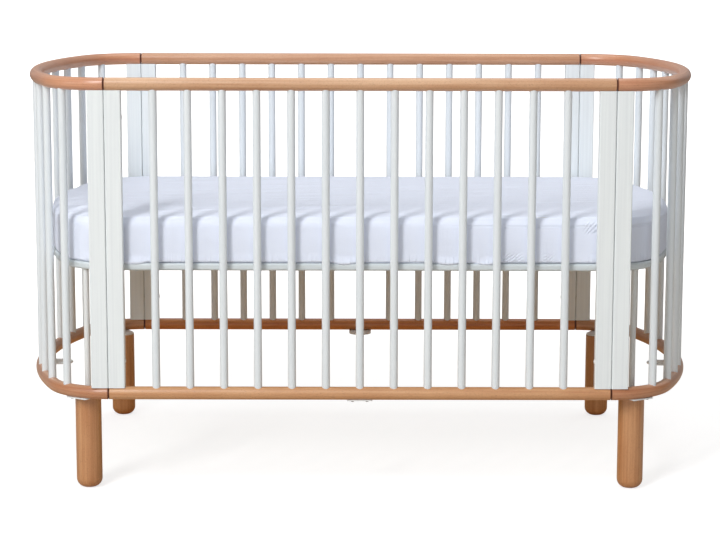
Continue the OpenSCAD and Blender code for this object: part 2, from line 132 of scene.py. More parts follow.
class Finish:
    """A procedural finish on an object's own coordinates."""

    def __init__(self, name, **constants):
        self.material = bpy.data.materials.new(name)
        self.material.use_nodes = True
        self.tree = self.material.node_tree
        self.shader = self.tree.nodes["Principled BSDF"]
        self.set(**constants)
        self.x, self.y, self.z = self.parts_of(self.node("ShaderNodeTexCoord", output="Object"))

    def feed(self, pin, item):
        """Links a Value to an input, or writes a constant there."""
        if isinstance(item, Value):
            self.tree.links.new(item.socket, pin)
        elif pin.type == "RGBA":
            pin.default_value = (*item[:3], 1.0)
        else:
            pin.default_value = item

    def node(self, kind, settings=None, inputs=None, output=0):
        """Adds any node, with its settings and inputs, and gives one output."""
        added = self.tree.nodes.new(kind)
        for key, item in (settings or {}).items():
            setattr(added, key, item)
        for key, item in (inputs or {}).items():
            self.feed(added.inputs[key], item)
        return Value(self, added.outputs[output])

    def parts_of(self, place):
        """The three numbers of a place or direction."""
        parts = self.node("ShaderNodeSeparateXYZ", inputs={0: place})
        return [Value(self, output) for output in parts.socket.node.outputs]

    def on_map(self, title):
        """The two coordinates of one of the piece's UV maps."""
        return self.parts_of(self.node("ShaderNodeUVMap", {"uv_map": title}))[:2]

    def math(self, operation, *items, clamp=False):
        """A Math node on Values and numbers; clamp keeps its result between 0 and 1."""
        settings = {"operation": operation, "use_clamp": clamp}
        return self.node("ShaderNodeMath", settings, dict(enumerate(items)))

    def clamp(self, item):
        """Keeps a Value between 0 and 1."""
        return self.math("ADD", item, 0.0, clamp=True)

    def ramp(self, item, low, high):
        """0 below low, 1 above high, smooth between."""
        pins = {"Value": item, "From Min": low, "From Max": high}
        settings = {"interpolation_type": "SMOOTHSTEP"}
        return self.node("ShaderNodeMapRange", settings, pins)

    def noise(self, x, y, z, scale=1.0, detail=2.0):
        """Cloudy noise from 0 to 1, read at a point scaled on each axis."""
        point = self.node("ShaderNodeCombineXYZ", inputs={0: x, 1: y, 2: z})
        pins = {"Vector": point, "Scale": scale, "Detail": detail, "Roughness": 0.5}
        return self.node("ShaderNodeTexNoise", inputs=pins)

    def mix(self, factor, a, b):
        """Colour a where the factor is 0 and b where it is 1."""
        pins = {0: factor, 6: a, 7: b}
        return self.node("ShaderNodeMix", {"data_type": "RGBA"}, pins, output=2)

    def bump(self, height, distance):
        """A normal from a height, where 1 stands for the distance in metres."""
        pins = {"Height": height, "Distance": distance, "Strength": 1.0}
        return self.node("ShaderNodeBump", inputs=pins)

    def set(self, **pins):
        """Feeds the shader's inputs; an underscore in a name stands for a space."""
        for key, item in pins.items():
            self.feed(self.shader.inputs[key.replace("_", " ")], item)


def tone(red, green, blue):
    """A colour as a paint chart gives it, 0 to 255, turned into light."""
    shares = np.array([red, green, blue]) / 255
    light = np.where(shares <= 0.04045, shares / 12.92, ((shares + 0.055) / 1.055) ** 2.4)
    return tuple(float(v) for v in light)


def dress(finish, slot, *names):
    """Gives CAD nodes their finish and prints the name of its slot."""
    for name in names:
        piece = nodes[name]
        piece.data.materials.clear()
        piece.data.materials.append(finish.material)
    print(slot, "on", len(names), "nodes")

# %% [markdown]
# ## Beech
#
# Beech is a close, pinkish wood. Three things make it beech rather than any pale wood: long
# faint bands of tone, a fine fibre, and thousands of short dark flecks, two or three millimetres
# long, that lie along the grain where the rays are cut. A maker would saw the pieces from
# steamed boards and spray them with a satin lacquer that warms the colour.
#
# The finish takes the grain's direction as three Values: how far along the grain a point lies,
# and its two places across it. Noise squeezed along the first makes bands and fibres; the same
# noise cut off at a high level makes the flecks. One recipe then serves straight rails, bent
# rails and turned legs, and it also takes its pale and its deep tone. The low rails are warmer
# than the top ones. The back rails' tones are painted shade: each is a darker copy of its
# fellow's in front, and the low one is deeper and more orange still, for the warm shade it
# stands in. The legs are a warmer beech whose darker tone is partly painted shade, for the
# lesser light low down. Sawn ends drink the lacquer and go dark, so the last two millimetres of
# every rail at the joints do too.

# %% Beech along any grain
BEECH_TOP = tone(222, 180, 143), tone(190, 134, 93)
BEECH_LOW = tone(220, 170, 124), tone(187, 124, 78)
# Painted shade: the low back rail's tones, deeper and more orange than the low rails'.
BEECH_LOW_BACK_SHADED = tone(227, 152, 94), tone(193, 111, 58)
# Partly painted shade: the legs' tones, a warmer beech made darker for the lesser light low down.
BEECH_LEG_WARM_AND_SHADED = tone(212, 159, 112), tone(180, 117, 70)
# Painted shade: the top back rail's tones, a darker copy of the front rail's.
BEECH_BACK_SHADED = tone(214, 168, 134), tone(184, 125, 88)
BEECH_BENT = tone(221, 164, 129), tone(190, 122, 87)
BEECH_BENT_LOW = tone(211, 158, 120), tone(180, 116, 78)
BEECH_FLECK = tone(140, 88, 56)
BEECH_END = tone(116, 60, 36)
STRIP = 0.0033


def beech(name, grain, tones, laminated=False):
    """Lacquered beech of two tones; grain(finish) gives the place along and across the grain."""
    wood = Finish(name, Coat_Roughness=0.28, IOR=1.5)
    along, across, beside = grain(wood)
    bands = wood.noise(along * 1.6, across * 55, beside * 55, detail=3)
    streaks = wood.noise(along * 3.1, across * 230, beside * 230, detail=2)
    clouds = wood.noise(along * 9, across * 14, beside * 14, detail=2)
    fibres = wood.noise(along * 22, across * 900, beside * 900, detail=2)
    flecks = wood.ramp(wood.noise(along * 330, across * 1500, beside * 1500, detail=0), 0.66, 0.74)
    tone_now = (bands - 0.5) * 1.3 + (streaks - 0.5) * 1.3 + (clouds - 0.5) * 0.8
    depth = wood.clamp(tone_now + (fibres - 0.5) * 0.5 + 0.45)
    lines = 0.0
    if laminated:
        layer = across / STRIP
        order = wood.math("FLOOR", layer)
        own = wood.node("ShaderNodeTexWhiteNoise", {"noise_dimensions": "1D"}, {"W": order})
        depth = wood.clamp(depth + (own - 0.5) * 0.34)
        lines = wood.ramp(abs(wood.math("FRACT", layer) - 0.5), 0.43, 0.49)
    colour = wood.mix(depth, *tones)
    colour = wood.mix(flecks * 0.42, colour, BEECH_FLECK)
    if laminated:
        colour = wood.mix(lines * 0.4, colour, BEECH_FLECK)
    from_joint = abs(abs(wood.x) - JOINT_X)
    sawn = wood.ramp(0.0 - from_joint, -0.0032, -0.0012) * 0.9
    colour = wood.mix(sawn, colour, BEECH_END)
    wood.set(
        Base_Color=colour,
        Roughness=0.38 + (fibres - 0.5) * 0.18 + sawn * 0.4,
        Coat_Weight=0.6 - sawn * 0.6,
        Normal=wood.bump(fibres - flecks * 0.5 - lines * 0.3, 0.00006),
    )
    return wood


def grain_along_x(wood):
    """Grain that runs along the crib, as in a side rail."""
    return wood.x, wood.y, wood.z


def grain_along_z(wood):
    """Grain that stands upright, as in a leg or a spindle."""
    return wood.z, wood.x, wood.y


straight_top = beech("straight beech", grain_along_x, BEECH_TOP)
# The back rails' finishes carry the painted shade of their darker tones.
straight_back_shaded = beech("straight beech back painted shade", grain_along_x, BEECH_BACK_SHADED)
straight_low = beech("straight beech low", grain_along_x, BEECH_LOW)
straight_low_back_shaded = beech("straight beech low back painted shade", grain_along_x, BEECH_LOW_BACK_SHADED)
# The legs' and dowels' finish carries the partly painted shade of the legs' tones.
turned_beech = beech("turned beech", grain_along_z, BEECH_LEG_WARM_AND_SHADED)
print("straight and turned beech made")

# %% [markdown]
# ## Bent beech
#
# A gable rail is far too tight a bend for one solid bar. It is glued up from thin strips, about
# three millimetres each, bent together in a press and then turned round. The glue lines run
# along the whole bend as fine dark threads, closest together where the round bar falls away.
#
# The shader has to bend with the bar. For any point it asks which arc it belongs to: seen from
# the end arc's centre, its angle is either less than the turn where the corner bend takes over
# or more. Distance from that arc's centre, less its radius, is the place across the strips, and
# the angle times the radius is the place along them. Steamed and pressed strips come out a
# little pinker and deeper than a sawn bar, so the bends have their own two tones.

# %% Laminated beech that follows the bend
def grain_round_gable(wood):
    """Places along and across a bent gable, and its height."""
    away = abs(wood.x)
    end_x = away - END_X
    end_turn = wood.math("ARCTAN2", wood.y, end_x)
    end_off = wood.math("SQRT", end_x * end_x + wood.y * wood.y) - END_R
    corner_x = away - JOINT_X
    corner_y = abs(wood.y) - CORNER_Y
    corner_turn = wood.math("ARCTAN2", corner_y, corner_x)
    corner_off = wood.math("SQRT", corner_x * corner_x + corner_y * corner_y) - CORNER_R
    corner_along = wood.math("SIGN", wood.y) * (END_HALF + CORNER_R * (corner_turn - BEND_TURN))
    in_corner = abs(end_turn) > BEND_TURN
    along = in_corner * corner_along + (1.0 - in_corner) * (END_R * end_turn)
    across = in_corner * corner_off + (1.0 - in_corner) * end_off
    return along, across, wood.z


bent_top = beech("bent beech", grain_round_gable, BEECH_BENT, laminated=True)
bent_low = beech("bent beech low", grain_round_gable, BEECH_BENT_LOW, laminated=True)
CORNERS = [f"{depth}_{side}" for depth in ("front", "back") for side in ("left", "right")]
dress(straight_top, "straight_beech", "top_rail_front")
dress(straight_back_shaded, "straight_beech", "top_rail_back")
dress(straight_low, "straight_beech", "low_rail_front")
dress(straight_low_back_shaded, "straight_beech", "low_rail_back")
dress(bent_top, "bent_beech", "top_rail_left", "top_rail_right")
dress(bent_low, "bent_beech", "low_rail_left", "low_rail_right")
dress(turned_beech, "turned_beech", *[f"leg_{corner}" for corner in CORNERS])
dress(turned_beech, "dowel_beech", "board_dowels", "base_dowels")

# %% [markdown]
# ## White lacquer
#
# The spindles, the post boards and the mattress base are wood sprayed white. Lacquer of this
# kind is not paper white: it is a touch grey and cool, satin rather than glossy, and under a
# raking light it shows a slight orange peel and, here and there, the wood's fibre. The base is
# sprayed with a duller, greyer coat, as a part that is seldom seen.
#
# One recipe makes all three, with its colour, its sheen and the fibre's direction as choices.

# %% Lacquer over wood
def lacquer(name, colour, shade, fibre, roughness=0.36):
    """Sprayed lacquer from a colour and its shade, with the wood's fibre faintly under it."""
    coat = Finish(name, IOR=1.48, Coat_Roughness=0.2)
    along, across, beside = fibre(coat)
    mottle = coat.noise(along * 3, across * 190, beside * 190, detail=2)
    skin = coat.noise(coat.x, coat.y, coat.z, scale=420, detail=1)
    threads = coat.noise(along * 12, across * 700, beside * 700, detail=1)
    coat.set(
        Base_Color=coat.mix(coat.ramp(mottle, 0.25, 0.8), colour, shade),
        Roughness=roughness + (skin - 0.5) * 0.12,
        Coat_Weight=0.15,
        Normal=coat.bump(skin + threads * 0.5, 0.00005),
    )
    return coat


SPINDLE_WHITE = tone(235, 241, 245), tone(227, 234, 239)
BOARD_WHITE = tone(242, 248, 250), tone(234, 240, 243)
BASE_WHITE = tone(216, 224, 228), tone(207, 215, 218)
spindle_lacquer = lacquer("spindle lacquer", *SPINDLE_WHITE, grain_along_z)
board_lacquer = lacquer("board lacquer", *BOARD_WHITE, grain_along_z)
base_lacquer = lacquer("base lacquer", *BASE_WHITE, grain_along_x, roughness=0.45)
SIDES = ("front", "back", "left", "right")
dress(spindle_lacquer, "spindle_lacquer", *[f"spindles_{side}" for side in SIDES])
dress(board_lacquer, "board_lacquer", *[f"side_board_{corner}" for corner in CORNERS])
dress(board_lacquer, "board_lacquer", *[f"gable_board_{corner}" for corner in CORNERS])
dress(base_lacquer, "base_lacquer", "base_rail_front", "base_rail_back")
dress(base_lacquer, "base_lacquer", "base_bow_left", "base_bow_right", "base_slats")

# %% [markdown]
# ## Steel, zinc and plastic
#
# The plates under the rails and the rods that carry the base are steel with a baked powder coat:
# white, harder edged than lacquer, with a fine even pebble. The bolts, inserts, studs and screws
# are zinc plated, a cool grey with cloudy patches where the bath was uneven. The small caps over
# the bolt heads are moulded plastic, smooth and a little glossy.

# %% Powder coat, zinc and moulded caps
powder = Finish("white powder coat", IOR=1.5)
pebble = powder.noise(powder.x, powder.y, powder.z, scale=900, detail=1)
powder.set(
    Base_Color=powder.mix(powder.ramp(pebble, 0.3, 0.8), tone(236, 238, 238), tone(228, 231, 232)),
    Roughness=0.34 + (pebble - 0.5) * 0.1,
    Normal=powder.bump(pebble, 0.00006),
)

zinc = Finish("zinc plating", Metallic=1.0)
bath = zinc.noise(zinc.x, zinc.y, zinc.z, scale=140, detail=3)
turning = zinc.noise(zinc.x * 30, zinc.y * 30, zinc.z * 2600, detail=1)
zinc.set(
    Base_Color=zinc.mix(zinc.ramp(bath, 0.3, 0.7), tone(176, 178, 180), tone(148, 150, 154)),
    Roughness=0.34 + (bath - 0.5) * 0.22,
    Normal=zinc.bump(turning, 0.00003),
)

moulded = Finish("moulded white plastic", IOR=1.46)
flow = moulded.noise(moulded.x, moulded.y, moulded.z, scale=260, detail=1)
moulded.set(Base_Color=tone(243, 244, 243), Roughness=0.24 + (flow - 0.5) * 0.08)

dress(powder, "white_steel", *[f"leg_plate_{corner}" for corner in CORNERS])
dress(powder, "white_steel", *[f"rod_{corner}" for corner in CORNERS])
dress(powder, "white_steel", *[f"spare_plate_{side}" for side in SIDES])
dress(zinc, "zinc_steel", "joint_bolts", "joint_inserts", "leg_studs", "plate_screws")
dress(moulded, "white_plastic", "bolt_caps")

# %% [markdown]
# ## Eased edges
#
# No edge that a hand meets is left sharp on a crib. A joiner eases each by half a millimetre with
# fine paper before spraying; even the rails' cut ends, where they meet at the posts, are broken.
# A narrow bevel on the hard edges gives them the thin bright line that the eye reads as real.

# %% A narrow bevel on wood and steel
def ease(names, width):
    """Eases the hard edges of CAD nodes by a bevel of the given width."""
    for name in names:
        bevel = nodes[name].modifiers.new("eased edges", "BEVEL")
        bevel.width = width
        bevel.segments = 2
        bevel.limit_method = "ANGLE"
        bevel.angle_limit = math.radians(50)
        bevel.harden_normals = True
    print("eased", len(names), "pieces by", width * 1000, "mm")


ease([n for n in nodes if n.startswith(("top_rail", "low_rail"))], 0.0006)
ease([n for n in nodes if "_board_" in n], 0.0005)
ease([n for n in nodes if "plate_" in n and n != "plate_screws"], 0.0003)

# %% [markdown]
# ## The mattress's oval
#
# Mattress and sheet follow the same oval as the rails, a little inside them. The outline is
# walked once, anticlockwise from the middle of the right gable, as four mirrored quarters: half
# an end arc, a corner bend, and half a straight side. Every point keeps its outward direction,
# so that an edge profile can be carried round: an inset from the rails' line gives the place.
#
# The flat top needs a grid that stays even. Its rows run from one gable to the other and its
# columns across, so a row is as long as the oval is wide there, and no point is shared by many
# faces as it would be in a fan.

# %% The outline, its grid and a profile carried round it
END_PLAY = 0.010
BEND_LENGTH = CORNER_R * (math.pi / 2 - BEND_TURN)
SHEET_INSET = RAIL_R + 0.0045
LOW, HIGH = (corner.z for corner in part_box("fitted_sheet"))
TOP_R, LOW_R = 0.017, 0.007


def quarter(step):
    """Right back quarter of the rails' line as (x, y, normal x, normal y), about step apart."""
    ends = np.linspace(0, BEND_TURN, round(END_HALF / step) + 1)
    bends = np.linspace(BEND_TURN, math.pi / 2, round(BEND_LENGTH / step) + 1)[1:]
    side_x = np.linspace(JOINT_X, 0, round(JOINT_X / step) + 1)[1:]
    turns = np.concatenate([ends, bends, np.full(len(side_x), math.pi / 2)])
    x = np.concatenate([END_X + END_R * np.cos(ends), JOINT_X + CORNER_R * np.cos(bends), side_x])
    side_y = np.full(len(side_x), SIDE_Y)
    y = np.concatenate([END_R * np.sin(ends), CORNER_Y + CORNER_R * np.sin(bends), side_y])
    return np.stack([x - END_PLAY * np.clip(x / JOINT_X, 0, 1), y, np.cos(turns), np.sin(turns)], 1)


def outline(step):
    """The whole oval as a closed loop of (x, y, normal x, normal y)."""
    back_right = quarter(step)
    back_left = back_right[::-1][1:] * (-1, 1, -1, 1)
    front_left = back_left[::-1][1:] * (1, -1, 1, -1)
    front_right = back_right[::-1][:-1] * (1, -1, 1, -1)
    return np.concatenate([back_right, back_left, front_left, front_right])


def strides_of(line):
    """The distance from each point of a closed loop to the next."""
    return np.hypot(*(np.roll(line[:, :2], -1, axis=0) - line[:, :2]).T)


def oval_body(step, insets, heights, floor_too):
    """A top grid, a profile carried down from its rim and, if asked for, the same grid below.

    insets and heights are the profile from the rim on. Gives the points, the quads, for every
    point its place in the flat cut, straight out from the rim by the length of profile, and for
    every quad's corners how far round the oval and down the profile they are.
    """
    line = outline(step)
    count = len(line)
    half = round(END_HALF / step) + round(BEND_LENGTH / step)
    rows, columns = 2 * half + 1, 2 * round(JOINT_X / step) + 1
    j, i = np.meshgrid(np.arange(rows), np.arange(columns), indexing="ij")
    rim = np.concatenate(
        [
            [(r, columns - 1) for r in range(half, rows)],
            [(rows - 1, c) for c in range(columns - 2, -1, -1)],
            [(r, 0) for r in range(rows - 2, -1, -1)],
            [(0, c) for c in range(1, columns)],
            [(r, columns - 1) for r in range(1, half)],
        ]
    )
    rim = rim[:, 0] * columns + rim[:, 1]
    rings = np.stack([line[:, :2] - inset * line[:, 2:] for inset in insets])
    gable = np.concatenate([rings[0][-half:], rings[0][: half + 1]])
    share = i / (columns - 1) * 2 - 1
    top = np.stack([gable[j, 0] * share, gable[j, 1], 0 * share + heights[0]], -1).reshape(-1, 3)
    skirt = np.concatenate(
        [np.column_stack([ring, np.full(count, z)]) for ring, z in zip(rings[1:], heights[1:])]
    )
    quads = (j * columns + i)[:-1, :-1].reshape(-1, 1) + np.array([0, 1, columns + 1, columns])
    base = len(top)
    upper = rim
    bands, downs = [], []
    travel = np.concatenate([[0.0], np.cumsum(np.hypot(np.diff(insets), np.diff(heights)))])
    round_it = np.concatenate([[0.0], np.cumsum(strides_of(line))])
    for k in range(len(insets) - 1):
        lower = base + k * count + np.arange(count)
        bands.append(np.stack([upper, lower, np.roll(lower, -1), np.roll(upper, -1)], 1))
        across = np.stack([round_it[:-1], round_it[:-1], round_it[1:], round_it[1:]], 1)
        depth = across * 0 + travel[[k, k + 1, k + 1, k]]
        downs.append(np.stack([across, depth], -1))
        upper = lower
    points = np.concatenate([top, skirt])
    faces = [quads, *bands]
    corners = [np.zeros((len(quads), 4, 2)), *downs]
    flat_skirt = [rings[0] + line[:, 2:] * t for t in travel[1:]]
    cut = np.concatenate([top[:, :2], *flat_skirt])
    if floor_too:
        under = top.copy()
        last = rings[-1]
        gable = np.concatenate([last[-half:], last[: half + 1]])
        under[:, 0] = (gable[j, 0] * share).ravel()
        under[:, 1] = gable[j, 1].ravel()
        under[:, 2] = heights[-1]
        inner = np.setdiff1d(np.arange(len(top)), rim)
        place = np.empty(len(top), int)
        place[inner] = len(points) + np.arange(len(inner))
        place[rim] = upper
        points = np.concatenate([points, under[inner]])
        cut = np.concatenate([cut, under[inner][:, :2]])
        faces.append(place[quads][:, ::-1])
        corners.append(np.zeros((len(quads), 4, 2)))
    return points, np.concatenate(faces), cut, np.concatenate(corners)


def edge_profile(gap, steps=6):
    """Insets and heights from the top's rim down to the lower edge, a gap inside the sheet's face.

    A quarter circle, a straight side and another quarter circle.
    """
    turns = np.linspace(0, math.pi / 2, steps)
    high_r, low_r = TOP_R - gap, LOW_R - gap
    centre_high, centre_low = HIGH - TOP_R, LOW + LOW_R
    side = np.linspace(centre_high, centre_low, steps + 1)[1:-1]
    insets = np.concatenate(
        [
            SHEET_INSET + TOP_R - high_r * np.sin(turns),
            np.full(len(side), SHEET_INSET + gap),
            SHEET_INSET + LOW_R - low_r * np.cos(turns),
        ]
    )
    upper, lower = centre_high + high_r * np.cos(turns), centre_low - low_r * np.sin(turns)
    return insets, np.concatenate([upper, side, lower])


def quad_mesh(name, points, quads, **maps):
    """An object from points and quads, smooth shaded, with a UV map for each array of corners."""
    mesh = bpy.data.meshes.new(name)
    mesh.vertices.add(len(points))
    mesh.vertices.foreach_set("co", np.asarray(points, np.float32).ravel())
    mesh.loops.add(quads.size)
    mesh.loops.foreach_set("vertex_index", quads.astype(np.int32).ravel())
    mesh.polygons.add(len(quads))
    mesh.polygons.foreach_set("loop_start", np.arange(0, quads.size, 4, dtype=np.int32))
    mesh.polygons.foreach_set("use_smooth", np.ones(len(quads), bool))
    mesh.update(calc_edges=True)
    for title, corners in maps.items():
        layer = mesh.uv_layers.new(name=title)
        layer.data.foreach_set("uv", corners.astype(np.float32).ravel())
    made = bpy.data.objects.new(name, mesh)
    bpy.context.scene.collection.objects.link(made)
    print(name, len(points), "points", len(quads), "quads")
    return made


def points_of(piece, evaluated=False):
    """An object's points as an array, after its modifiers if asked for."""
    source = piece.evaluated_get(bpy.context.evaluated_depsgraph_get()) if evaluated else piece
    flat = np.empty(len(source.data.vertices) * 3, np.float32)
    source.data.vertices.foreach_get("co", flat)
    return flat.reshape(-1, 3).astype(float)


def normals_of(piece):
    """The outward direction at every point of an object, as an array."""
    flat = np.empty(len(piece.data.vertices) * 3, np.float32)
    piece.data.vertices.foreach_get("normal", flat)
    return flat.reshape(-1, 3).astype(float)


def put_points(piece, points):
    """Moves an object's points to the rows of an array."""
    piece.data.vertices.foreach_set("co", points.astype(np.float32).ravel())
    piece.data.update()


# %% [markdown]
# ## Letting cloth settle
#
# Cloth is not shaped, it settles: into the shape where its weave is least strained. The settling
# is simulated for less than a second of real time, from a start that is nearly right. What the
# simulation moved is then capped, along the surface and against it, so that no thread can end up
# inside the foam or out among the spindles. The cap against it is a soft one: it bends large
# moves back and leaves small ones.

# %% A short simulation, capped
MOST_SLIDE = 0.004


def settle(piece, frames, cap_in, cap_out, rest, pinned=None, pressure=0.0, gravity=1.0):
    """Simulates a piece as cloth, then keeps its points within the caps of where they were.

    rest gives the points of the unstrained cut, a little larger than the start shape.
    """
    start = points_of(piece)
    out = normals_of(piece)
    piece.shape_key_add(name="start", from_mix=False)
    key = piece.shape_key_add(name="cut", from_mix=False)
    key.data.foreach_set("co", rest.astype(np.float32).ravel())
    cloth = piece.modifiers.new("cloth", "CLOTH")
    how = cloth.settings
    how.quality = 5
    how.mass = 0.12
    how.tension_stiffness, how.compression_stiffness, how.shear_stiffness = 12, 6, 3
    how.bending_stiffness = 0.06
    how.air_damping = 1.5
    how.effector_weights.gravity = gravity
    if pinned is not None:
        group = piece.vertex_groups.new(name="held")
        group.add(np.flatnonzero(pinned).tolist(), 1.0, "REPLACE")
        how.vertex_group_mass = "held"
    how.rest_shape_key = piece.data.shape_keys.key_blocks["cut"]
    if pressure:
        how.use_pressure = True
        how.uniform_pressure_force = pressure
    cloth.collision_settings.use_collision = True
    cloth.collision_settings.distance_min = 0.0006
    cloth.point_cache.frame_start, cloth.point_cache.frame_end = 1, frames
    scene = bpy.context.scene
    for frame_number in range(1, frames + 1):
        scene.frame_set(frame_number)
    moved = points_of(piece, evaluated=True) - start
    scene.frame_set(1)
    piece.modifiers.remove(cloth)
    piece.shape_key_clear()
    lift = (moved * out).sum(1)
    along = moved - lift[:, None] * out
    slide = np.linalg.norm(along, axis=1)
    along *= np.minimum(1, MOST_SLIDE / np.maximum(slide, 1e-9))[:, None]
    cap = np.where(lift > 0, cap_out, cap_in)
    put_points(piece, start + along + (cap * np.tanh(lift / cap))[:, None] * out)
    print(piece.name, "lifted", lift.min().round(4), "to", lift.max().round(4), "m before the cap")


# %% [markdown]
# ## The mattress
#
# Under the sheet is a foam block in a sewn white ticking, nine centimetres thick. Foam presses
# the ticking out from inside, a little more in the middle of a face than at its edges, and the
# ticking answers with shallow puckers. A small even pressure on a closed skin does the same.

# %% The foam block in its ticking
PAD_GAP = 0.0018
PAD_STEP = 0.0165
PAD_SURPLUS = (1.006, 1.006, 1.0)
PAD_CAP = 0.0012
TWILL = 0.0016
insets, heights = edge_profile(PAD_GAP)
pad_points, pad_quads, pad_cut, _ = oval_body(PAD_STEP, insets, heights, True)
pad = quad_mesh("mattress_pad", pad_points, pad_quads, cut=pad_cut[pad_quads])
loose = pad_points * PAD_SURPLUS
settle(pad, 8, PAD_CAP, PAD_CAP, loose, pressure=0.1, gravity=0.0)
finer = pad.modifiers.new("finer", "SUBSURF")
finer.levels = finer.render_levels = 1

ticking = Finish("white ticking", Sheen_Weight=0.25, Sheen_Roughness=0.5, Specular_IOR_Level=0.25)
u, v = ticking.on_map("cut")
twill = ticking.math("SINE", (u + v) * (2 * math.pi / TWILL))
slub = ticking.noise(u * 220, v * 900, 0.0, detail=1)
ticking.set(
    Base_Color=ticking.mix(ticking.ramp(slub, 0.3, 0.8), tone(236, 237, 240), tone(226, 228, 233)),
    Roughness=0.85 + (slub - 0.5) * 0.1,
    Normal=ticking.bump(twill * 0.5 + slub, 0.0002),
)
pad.data.materials.append(ticking.material)
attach(pad, "mattress")
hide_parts("mattress")

# %% [markdown]
# ## The fitted sheet
#
# The sheet is one oval of fine cotton, cut larger than the mattress all round by the height of
# the side and six centimetres to turn in beneath, where an elastic hem gathers it. Pulled on, it
# is tight lengthwise but a little slack across, so it lies in long low waves along the crib. At
# the bends the cut has more cloth than the side needs, and that goes into small folds above the
# lower edge.
#
# So the simulation starts from the mattress's own shape, and is told that the uncut cloth is
# slightly wider: the slack across, and the surplus round the bends, are built into its rest
# shape. A flat sheet under even strain would not know where to buckle, so it starts with the
# long waves barely raised. The turned-in part is held, as the elastic holds it.

# %% The sheet settles over the foam
def waves(cut, rng):
    """Slow waves of a sheet pulled tight lengthwise, as a height over the cut.

    Seven sines, each nearly square to the length, are a hand's breadth from crest to crest, and
    one more is about a third of that. By the left gable, where the hem was pulled down last,
    closer lines follow the gable's arc.
    """
    x, y = cut.T
    height = np.zeros(len(cut))
    for _ in range(7):
        crest, slant, start = rng.uniform(0.075, 0.130), rng.normal(0, 0.14), rng.uniform(0, 6.3)
        wander = np.sin(x * rng.uniform(4, 9) + rng.uniform(0, 6.3))
        height += np.sin((x * slant + y) * 2 * math.pi / crest + wander + start)
    height *= 0.0003 * (1.1 - 0.6 * np.clip(x / 0.6, -1, 1))
    height += 0.0002 * np.sin(y * 2 * math.pi / 0.034 + 1.5 * np.sin(x * 6) + np.sin(x * 17 + 1))
    inward = END_R - np.hypot(x + END_X, y)
    near = np.exp(-(((inward - 0.075) / 0.05) ** 2) - ((y + 0.06) / 0.17) ** 2) * (x < -0.3)
    return height + 0.0010 * near * np.sin(inward * 2 * math.pi / 0.027)


TURN_IN = 0.060
SHEET_STEP = 0.0125
SHEET_SLACK = (1.003, 1.014, 1.0)
BEND_SURPLUS = 0.07
SHEET_CAPS = 0.0012, 0.0035
insets, heights = edge_profile(0.0)
hem_insets = np.linspace(SHEET_INSET + LOW_R, SHEET_INSET + TURN_IN, 6)[1:]
sheet_insets = np.concatenate([insets, hem_insets])
sheet_heights = np.concatenate([heights, np.full(5, LOW)])
sheet_points, sheet_quads, sheet_cut, sheet_edge = oval_body(
    SHEET_STEP, sheet_insets, sheet_heights, False
)
maps = {"cut": sheet_cut[sheet_quads], "edge": sheet_edge}
sheet = quad_mesh("cotton_sheet", sheet_points, sheet_quads, **maps)
held = sheet_points[:, 2] < LOW + 0.5 * LOW_R
raised = waves(sheet_cut, np.random.default_rng(5)) * ~held
put_points(sheet, sheet_points + normals_of(sheet) * (raised + 0.0004)[:, None])

rest = sheet_points * SHEET_SLACK
spread = sheet_cut - sheet_points[:, :2]
rest[:, :2] += BEND_SURPLUS * spread
pad.modifiers.new("foam", "COLLISION")
pad.collision.thickness_outer = 0.0008
settle(sheet, 16, *SHEET_CAPS, rest, pinned=held, gravity=0.6)
pad.modifiers.remove(pad.modifiers["foam"])

# %% [markdown]
# ## Creases finer than the simulation
#
# The simulated cloth, on a grid a little over a centimetre wide, gives the slow shapes. The
# sharper marks come from how the sheet was folded and pulled on: long shallow ridges across the
# top, lines drawn parallel to the left gable, small puckers on the right of the front edge where
# a hand let go, and slanting folds above the lower edge, where the edge itself hangs down a few
# millimetres in short tongues. They are laid on the flat cut, as if pencilled on the cloth, and
# pushed out along the surface on a grid twice as fine.

# %% Ridges drawn on the cut
EDGE_DOWN = math.pi / 2 * TOP_R + (HIGH - LOW - TOP_R - LOW_R) + math.pi / 4 * LOW_R
RIM_Y = SIDE_Y - SHEET_INSET - TOP_R


def refine(piece, cut):
    """Halves a piece's grid and gives the finer points' places in the cut."""
    place = piece.data.attributes.new("place", "FLOAT_VECTOR", "POINT")
    marks = np.column_stack([cut, 0 * cut[:, 0]]).astype(np.float32)
    place.data.foreach_set("vector", marks.ravel())
    halve = piece.modifiers.new("halve", "SUBSURF")
    halve.levels = halve.render_levels = 1
    seen_from = piece.evaluated_get(bpy.context.evaluated_depsgraph_get())
    finer = bpy.data.meshes.new_from_object(seen_from)
    piece.modifiers.remove(halve)
    piece.data = finer
    flat = np.empty(len(finer.vertices) * 3, np.float32)
    finer.attributes["place"].data.foreach_get("vector", flat)
    return flat.reshape(-1, 3)[:, :2].astype(float)


def ridge(cut, start, end, width, height):
    """Height of a soft ridge along a segment of the cut, dying away at both of its ends."""
    start, along = np.array(start), np.array(end) - np.array(start)
    share = np.clip(((cut - start) @ along) / (along @ along), 0, 1)
    off = cut - start - share[:, None] * along
    return height * np.exp(-(off**2).sum(1) / width**2) * np.sin(np.pi * share) ** 0.6


